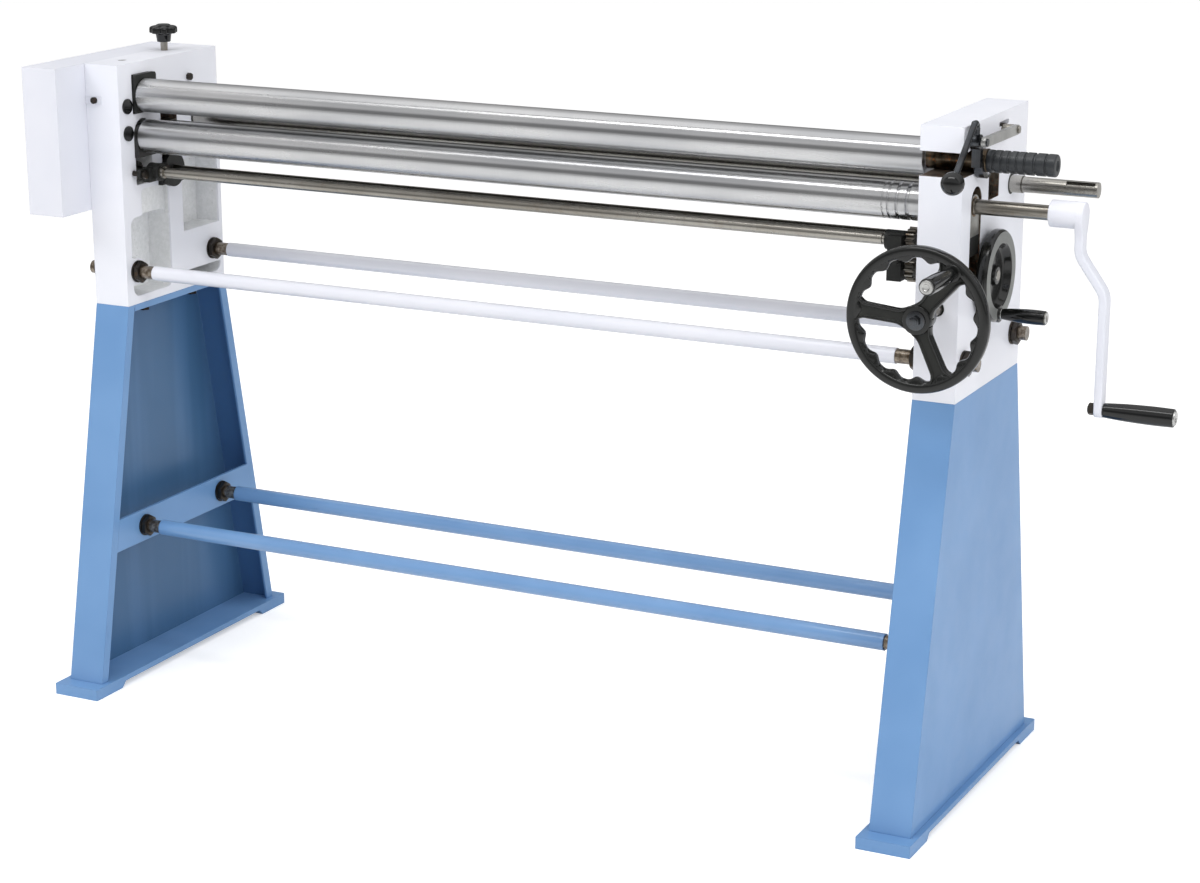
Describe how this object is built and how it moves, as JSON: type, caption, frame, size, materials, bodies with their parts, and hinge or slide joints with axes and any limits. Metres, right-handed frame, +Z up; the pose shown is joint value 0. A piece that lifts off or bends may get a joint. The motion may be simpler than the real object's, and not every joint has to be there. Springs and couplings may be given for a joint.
{
  "type": "slip roll machine",
  "caption": "Floor-standing hand-cranked slip roll: long forming rolls between two housings on a sheet-steel stand, with a swing-out upper roll and screw-set rolls.",
  "frame": {"origin": "on the floor under the middle of the machine's bounding box", "axes": "+X along the rolls towards the crank, +Y from the operator's side to the back, +Z up"},
  "size_m": [1.7376, 0.5618, 1.0026],
  "materials": {
    "stand_paint": "satin paint",
    "housing_paint": "satin paint on a casting",
    "guard_paint": "satin paint on sheet",
    "ground_steel": "ground",
    "machined_steel": "machined and oiled",
    "dark_casting": "dark enamel",
    "wheel_enamel": "gloss enamel",
    "black_plastic": "moulded gloss",
    "grip_rubber": "ribbed",
    "bearing_bronze": "oily bronze",
    "dark_fasteners": "oxidised"
  },
  "bodies": {
    "stand_and_housings": {"left_stand": "stand_paint", "right_stand": "stand_paint", "stand_top_plates": "stand_paint", "foot_plates": "stand_paint", "cross_bars": "stand_paint", "left_housing": "housing_paint", "right_housing": "housing_paint", "gear_guard": "guard_paint", "guard_screws": "dark_fasteners", "housing_bolts": "dark_fasteners", "upper_tie_rods": "housing_paint", "lower_tie_rods": "stand_paint", "tie_rod_nuts": "dark_fasteners", "port_plugs": "black_plastic", "shaft_brackets": "dark_casting", "bracket_studs": "dark_fasteners", "shaft_bearings": "bearing_bronze", "trunnion_pins": "ground_steel", "idler_axle": "ground_steel", "link_pin": "ground_steel"},
    "lower_roll_carriage": {"lower_bearing_blocks": "dark_casting", "screw_nut": "dark_casting", "roll_bushes": "bearing_bronze"},
    "cranked_lower_roll": {"lower_roll": "ground_steel", "lower_roll_gear": "machined_steel", "crank_arm": "housing_paint", "crank_handle_bolt": "dark_fasteners"},
    "crank_handle": {"crank_grip": "black_plastic"},
    "trunnion": {"upper_trunnion": "dark_casting"},
    "swing_out_upper_roll": {"upper_roll": "ground_steel", "roll_end_grip": "grip_rubber"},
    "drive_shaft": {"drive_gear_shaft": "ground_steel", "upper_drive_gears": "machined_steel"},
    "idler": {"idler_gear": "machined_steel"},
    "keyed_shaft": {"keyed_pinion_shaft": "ground_steel", "drive_pinion": "machined_steel"},
    "lift_handwheel": {"front_handwheel": "wheel_enamel", "handwheel_shaft": "ground_steel", "handwheel_nut": "ground_steel"},
    "lift_wheel_handle": {"handwheel_grip": "black_plastic"},
    "cross_shaft": {"front_cross_shaft": "ground_steel", "cross_shaft_gears": "machined_steel"},
    "transfer": {"transfer_shaft": "machined_steel"},
    "left_lift_screw": {"left_jack_screw": "machined_steel"},
    "right_lift_screw": {"right_jack_screw": "machined_steel"},
    "rear_carriage": {"rear_bearing_blocks": "machined_steel"},
    "bending_roll": {"rear_roll": "ground_steel"},
    "rear_shaft": {"rear_cross_shaft": "ground_steel", "rear_shaft_gears": "machined_steel"},
    "rear_handwheel": {"dished_handwheel": "wheel_enamel", "dished_wheel_shaft": "ground_steel"},
    "rear_wheel_handle": {"dished_wheel_grip": "black_plastic"},
    "left_rear_lift_screw": {"left_rear_screw": "machined_steel"},
    "right_rear_lift_screw": {"right_rear_screw": "machined_steel"},
    "lock_stud_body": {"lock_stud": "ground_steel"},
    "knob": {"star_knob": "black_plastic"},
    "link": {"latch_link": "machined_steel"},
    "lever": {"latch_lever": "machined_steel", "latch_ball": "black_plastic"}
  },
  "joints": [
    {"name": "lift_handwheel_turn", "type": "hinge", "parent": "stand_and_housings", "child": "lift_handwheel", "pos_m": [0.5572, -0.1081, 0.72], "axis": [0, 1, 0], "range_deg": [0, 1247.5]},
    {"name": "lift_wheel_handle_spin", "type": "hinge", "parent": "lift_handwheel", "child": "lift_wheel_handle", "pos_m": [0.60366, -0.1866, 0.78635], "axis": [0, 1, 0], "continuous": true},
    {"name": "right_lift_screw_turn", "type": "hinge", "parent": "stand_and_housings", "child": "right_lift_screw", "pos_m": [0.5572, -0.0511, 0.76], "axis": [0, 0, 1], "range_deg": [-1248, 0.5]},
    {"name": "transfer_turn", "type": "hinge", "parent": "stand_and_housings", "child": "transfer", "pos_m": [0.5422, -0.0511, 0.76], "axis": [1, 0, 0], "range_deg": [-0.5, 1248]},
    {"name": "cross_shaft_turn", "type": "hinge", "parent": "stand_and_housings", "child": "cross_shaft", "pos_m": [-0.1078, -0.0511, 0.795], "axis": [1, 0, 0], "range_deg": [-1248, 0.5]},
    {"name": "left_lift_screw_turn", "type": "hinge", "parent": "stand_and_housings", "child": "left_lift_screw", "pos_m": [-0.7728, -0.0511, 0.795], "axis": [0, 0, 1], "range_deg": [-1248, 0.5]},
    {"name": "lower_roll_lift", "type": "slide", "parent": "stand_and_housings", "child": "lower_roll_carriage", "axis": [0, 0, 1], "range_m": [0, 0.0104]},
    {"name": "crank_spin", "type": "hinge", "parent": "lower_roll_carriage", "child": "cranked_lower_roll", "pos_m": [-0.1078, -0.0511, 0.849], "axis": [-1, 0, 0], "continuous": true},
    {"name": "crank_handle_spin", "type": "hinge", "parent": "cranked_lower_roll", "child": "crank_handle", "pos_m": [0.8122, -0.0511, 0.594], "axis": [1, 0, 0], "continuous": true},
    {"name": "upper_roll_swing", "type": "hinge", "parent": "stand_and_housings", "child": "trunnion", "pos_m": [-0.7748, -0.0511, 0.911], "axis": [0, 0, -1], "range_deg": [0, 3.7]},
    {"name": "upper_roll_spin", "type": "hinge", "parent": "trunnion", "child": "swing_out_upper_roll", "pos_m": [-0.1078, -0.0511, 0.911], "axis": [-1, 0, 0], "continuous": true},
    {"name": "drive_shaft_spin", "type": "hinge", "parent": "stand_and_housings", "child": "drive_shaft", "pos_m": [-0.8228, -0.0511, 0.911], "axis": [-1, 0, 0], "continuous": true},
    {"name": "idler_spin", "type": "hinge", "parent": "stand_and_housings", "child": "idler", "pos_m": [-0.8358, 0.03279, 0.88282], "axis": [-1, 0, 0], "continuous": true},
    {"name": "keyed_shaft_spin", "type": "hinge", "parent": "stand_and_housings", "child": "keyed_shaft", "pos_m": [-0.1078, 0.0919, 0.857], "axis": [-1, 0, 0], "continuous": true},
    {"name": "rear_handwheel_turn", "type": "hinge", "parent": "stand_and_housings", "child": "rear_handwheel", "pos_m": [0.5922, 0.00115, 0.74848], "axis": [-1, 0, 0], "range_deg": [-719.5, 3119.5]},
    {"name": "rear_wheel_handle_spin", "type": "hinge", "parent": "rear_handwheel", "child": "rear_wheel_handle", "pos_m": [0.6372, 0.00115, 0.69648], "axis": [1, 0, 0], "continuous": true},
    {"name": "rear_shaft_turn", "type": "hinge", "parent": "stand_and_housings", "child": "rear_shaft", "pos_m": [-0.1078, 0.0179, 0.787], "axis": [1, 0, 0], "range_deg": [-720, 3120]},
    {"name": "right_rear_screw_turn", "type": "hinge", "parent": "stand_and_housings", "child": "right_rear_lift_screw", "pos_m": [0.5652, 0.0179, 0.787], "axis": [0, 0, 1], "range_deg": [-3120, 720]},
    {"name": "left_rear_screw_turn", "type": "hinge", "parent": "stand_and_housings", "child": "left_rear_lift_screw", "pos_m": [-0.7808, 0.0179, 0.787], "axis": [0, 0, 1], "range_deg": [-720, 3120]},
    {"name": "bending_roll_lift", "type": "slide", "parent": "stand_and_housings", "child": "rear_carriage", "axis": [0, 0, 1], "range_m": [-0.006, 0.026]},
    {"name": "bending_roll_spin", "type": "hinge", "parent": "rear_carriage", "child": "bending_roll", "pos_m": [-0.1078, 0.0179, 0.838], "axis": [-1, 0, 0], "continuous": true},
    {"name": "knob_turn", "type": "hinge", "parent": "lock_stud_body", "child": "knob", "pos_m": [-0.7838, 0.0719, 0.985], "axis": [0, 0, 1], "range_deg": [-0.5, 720.5]},
    {"name": "lock_stud_slide", "type": "slide", "parent": "stand_and_housings", "child": "lock_stud_body", "axis": [0, 0, 1], "range_m": [0, 0.0035]},
    {"name": "latch_link_swing", "type": "hinge", "parent": "stand_and_housings", "child": "link", "pos_m": [0.6062, 0.0459, 0.9385], "axis": [-1, 0, 0], "range_deg": [0, 5.1]},
    {"name": "latch_lever_turn", "type": "hinge", "parent": "link", "child": "lever", "pos_m": [0.5952, -0.0831, 0.94], "axis": [-1, 0, 0], "range_deg": [0, 178]}
  ],
  "couplings": [
    {"joint": "right_lift_screw_turn", "follows": "lift_handwheel_turn", "ratio": -1},
    {"joint": "left_lift_screw_turn", "follows": "lift_handwheel_turn", "ratio": -1},
    {"joint": "transfer_turn", "follows": "lift_handwheel_turn", "ratio": 1},
    {"joint": "cross_shaft_turn", "follows": "lift_handwheel_turn", "ratio": -1},
    {"joint": "lower_roll_lift", "follows": "lift_handwheel_turn", "m_per_rad": 0.00047746},
    {"joint": "upper_roll_spin", "follows": "crank_spin", "ratio": -1},
    {"joint": "drive_shaft_spin", "follows": "crank_spin", "ratio": -1},
    {"joint": "idler_spin", "follows": "crank_spin", "ratio": 0.90323},
    {"joint": "keyed_shaft_spin", "follows": "crank_spin", "ratio": -2.3333},
    {"joint": "rear_shaft_turn", "follows": "rear_handwheel_turn", "ratio": 1},
    {"joint": "right_rear_screw_turn", "follows": "rear_handwheel_turn", "ratio": -1},
    {"joint": "left_rear_screw_turn", "follows": "rear_handwheel_turn", "ratio": 1},
    {"joint": "bending_roll_lift", "follows": "rear_handwheel_turn", "m_per_rad": 0.00047746},
    {"joint": "knob_turn", "follows": "lock_stud_slide", "rad_per_m": 3590.4},
    {"joint": "latch_link_swing", "follows": "upper_roll_swing", "ratio": 1.3514},
    {"joint": "latch_lever_turn", "follows": "upper_roll_swing", "ratio": 48}
  ]
}
